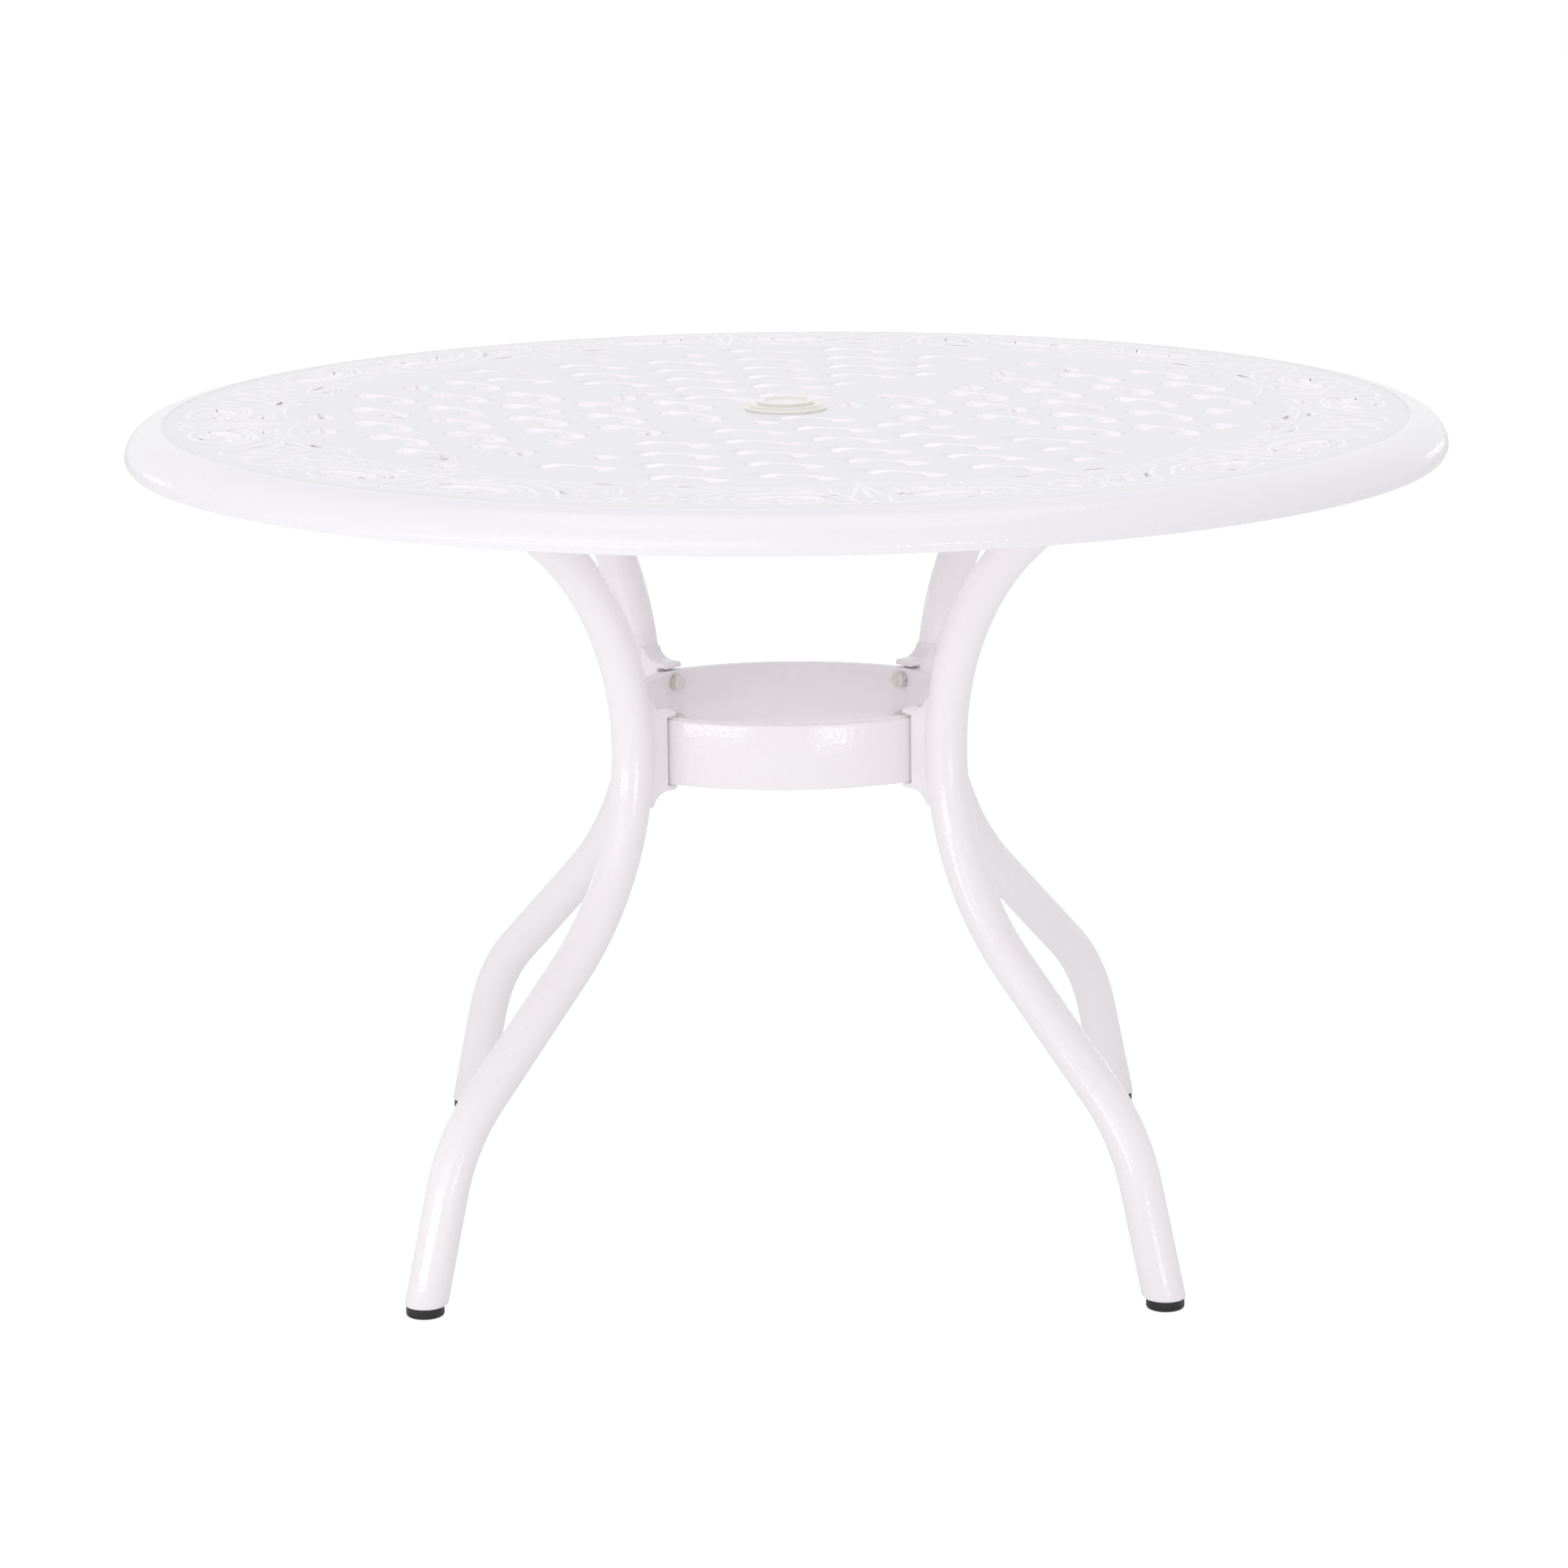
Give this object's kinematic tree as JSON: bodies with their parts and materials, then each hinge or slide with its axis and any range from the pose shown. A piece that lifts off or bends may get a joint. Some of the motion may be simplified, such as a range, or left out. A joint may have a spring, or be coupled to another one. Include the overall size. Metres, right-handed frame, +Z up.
{
  "type": "umbrella table",
  "caption": "Round outdoor dining table with a basket-weave pierced top, scrolled border, curved tube legs, a stretcher ring and an umbrella hole with a lift-out cap.",
  "frame": {"origin": "on the floor, on the axis of the umbrella hole", "axes": "+Z up along the umbrella hole's axis, +Y from the front of the table to its rear, +X to the right"},
  "size_m": [1.1998, 1.2, 0.7615],
  "materials": {
    "white_powder_coat": "gloss powder coat with a fine orange-peel texture",
    "clear_plastic": "translucent, glossy",
    "black_plastic": "moulded matt",
    "zinc": "bright zinc plate"
  },
  "bodies": {
    "table": {"table_rim": "white_powder_coat", "table_panel": "white_powder_coat", "panel_hub": "white_powder_coat", "umbrella_ring": "clear_plastic", "stretcher_ring": "white_powder_coat", "leg_tube_front_left": "white_powder_coat", "leg_tube_front_right": "white_powder_coat", "leg_tube_rear_left": "white_powder_coat", "leg_tube_rear_right": "white_powder_coat", "top_plate_front_left": "white_powder_coat", "top_plate_front_right": "white_powder_coat", "top_plate_rear_left": "white_powder_coat", "top_plate_rear_right": "white_powder_coat", "ring_bracket_front_left": "white_powder_coat", "ring_bracket_front_right": "white_powder_coat", "ring_bracket_rear_left": "white_powder_coat", "ring_bracket_rear_right": "white_powder_coat", "foot_glide_front_left": "black_plastic", "foot_glide_front_right": "black_plastic", "foot_glide_rear_left": "black_plastic", "foot_glide_rear_right": "black_plastic", "ring_bolts": "zinc", "ring_lock_washers": "zinc", "ring_flat_washers": "zinc", "plate_bolts": "zinc", "plate_flat_washers": "zinc"},
    "cap": {"hole_cap": "clear_plastic"}
  },
  "joints": [
    {"name": "cap_lift", "type": "slide", "parent": "table", "child": "cap", "axis": [0, 0, 1], "range_m": [0, 0.06]}
  ]
}
